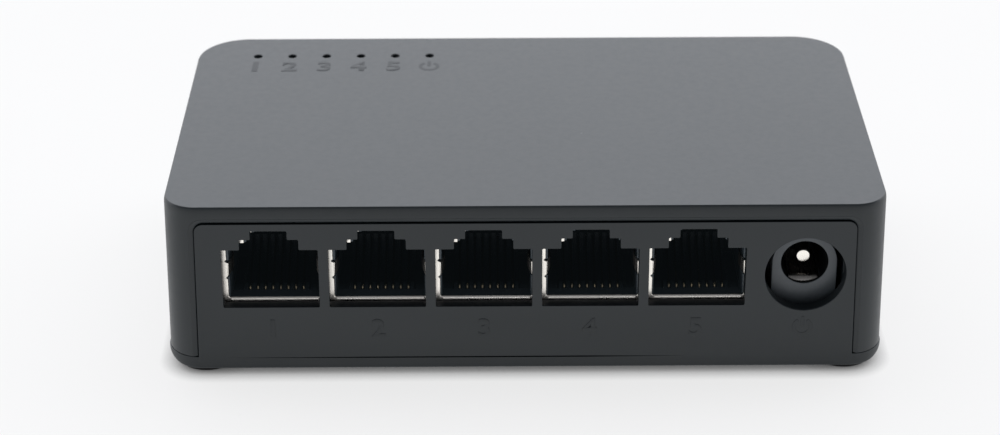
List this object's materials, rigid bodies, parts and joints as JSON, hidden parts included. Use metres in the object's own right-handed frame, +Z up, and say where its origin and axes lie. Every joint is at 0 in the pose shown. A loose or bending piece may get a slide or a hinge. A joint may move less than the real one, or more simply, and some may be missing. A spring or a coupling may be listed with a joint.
{
  "type": "desktop network switch",
  "caption": "Small rounded plastic box with a row of modular network sockets and a round power socket on one side and pinhole indicators on top.",
  "frame": {"origin": "on the standing surface under the middle of the case", "axes": "+Z up, +Y towards the back, away from the socket side, +X to the right when facing the sockets"},
  "size_m": [0.0954, 0.055, 0.0252],
  "materials": {
    "case_plastic": "fine moulded texture, satin-matte charcoal",
    "foot_rubber": "matte black rubber",
    "label_film": "blank silver-grey polyester label",
    "solder_mask": "green solder mask over glass-fibre laminate",
    "screw_steel": "nickel-plated pan-head screws",
    "shield_metal": "nickel-plated sheet",
    "connector_plastic": "black glass-filled nylon",
    "contact_gold": "gold-flashed spring wire",
    "dc_contact": "nickel-plated brass",
    "clear_plastic": "clear moulded polycarbonate",
    "led_body": "white body with yellowish epoxy window",
    "chip_epoxy": "black moulded epoxy",
    "can_metal": "satin metal can",
    "ferrite": "dark sintered ferrite"
  },
  "bodies": {
    "base": {"bottom_base": "case_plastic", "foot_front_left": "foot_rubber", "foot_front_right": "foot_rubber", "foot_rear_left": "foot_rubber", "foot_rear_right": "foot_rubber", "rating_label": "label_film", "main_pcb": "solder_mask", "pcb_screw_left": "screw_steel", "pcb_screw_right": "screw_steel", "rj45_shield": "shield_metal", "rj45_housing": "connector_plastic", "dc_jack_body": "connector_plastic", "dc_jack_pin": "dc_contact", "dc_jack_switch_contact": "dc_contact", "led_1": "led_body", "led_2": "led_body", "led_3": "led_body", "led_4": "led_body", "led_5": "led_body", "led_6": "led_body", "magnetics_1": "chip_epoxy", "magnetics_2": "chip_epoxy", "magnetics_3": "chip_epoxy", "magnetics_4": "chip_epoxy", "magnetics_5": "chip_epoxy", "switch_ic": "chip_epoxy", "crystal": "can_metal", "power_inductor": "ferrite", "buck_regulator": "chip_epoxy", "input_diode": "chip_epoxy", "capacitor_1": "can_metal", "capacitor_2": "can_metal"},
    "cover": {"top_cover": "case_plastic", "light_pipe": "clear_plastic"},
    "dc_spring": {"dc_jack_spring": "dc_contact"},
    "port_1_comb": {"port_1_contacts": "contact_gold"},
    "port_2_comb": {"port_2_contacts": "contact_gold"},
    "port_3_comb": {"port_3_contacts": "contact_gold"},
    "port_4_comb": {"port_4_contacts": "contact_gold"},
    "port_5_comb": {"port_5_contacts": "contact_gold"}
  },
  "joints": [
    {"name": "cover_lift", "type": "slide", "parent": "base", "child": "cover", "axis": [0, 0, 1], "range_m": [0, 0.04]},
    {"name": "port_1_contact_flex", "type": "hinge", "parent": "base", "child": "port_1_comb", "pos_m": [-0.0331, -0.02185, 0.0096], "axis": [-1, 0, 0], "range_deg": [0, 14], "stiffness_Nm_per_rad": 0.02},
    {"name": "port_2_contact_flex", "type": "hinge", "parent": "base", "child": "port_2_comb", "pos_m": [-0.01913, -0.02185, 0.0096], "axis": [-1, 0, 0], "range_deg": [0, 14], "stiffness_Nm_per_rad": 0.02},
    {"name": "port_3_contact_flex", "type": "hinge", "parent": "base", "child": "port_3_comb", "pos_m": [-0.00516, -0.02185, 0.0096], "axis": [-1, 0, 0], "range_deg": [0, 14], "stiffness_Nm_per_rad": 0.02},
    {"name": "port_4_contact_flex", "type": "hinge", "parent": "base", "child": "port_4_comb", "pos_m": [0.00881, -0.02185, 0.0096], "axis": [-1, 0, 0], "range_deg": [0, 14], "stiffness_Nm_per_rad": 0.02},
    {"name": "port_5_contact_flex", "type": "hinge", "parent": "base", "child": "port_5_comb", "pos_m": [0.02278, -0.02185, 0.0096], "axis": [-1, 0, 0], "range_deg": [0, 14], "stiffness_Nm_per_rad": 0.02},
    {"name": "dc_spring_flex", "type": "hinge", "parent": "base", "child": "dc_spring", "pos_m": [0.03679, -0.0148, 0.0119], "axis": [1, 0, 0], "range_deg": [0, 3.5], "stiffness_Nm_per_rad": 0.05}
  ]
}
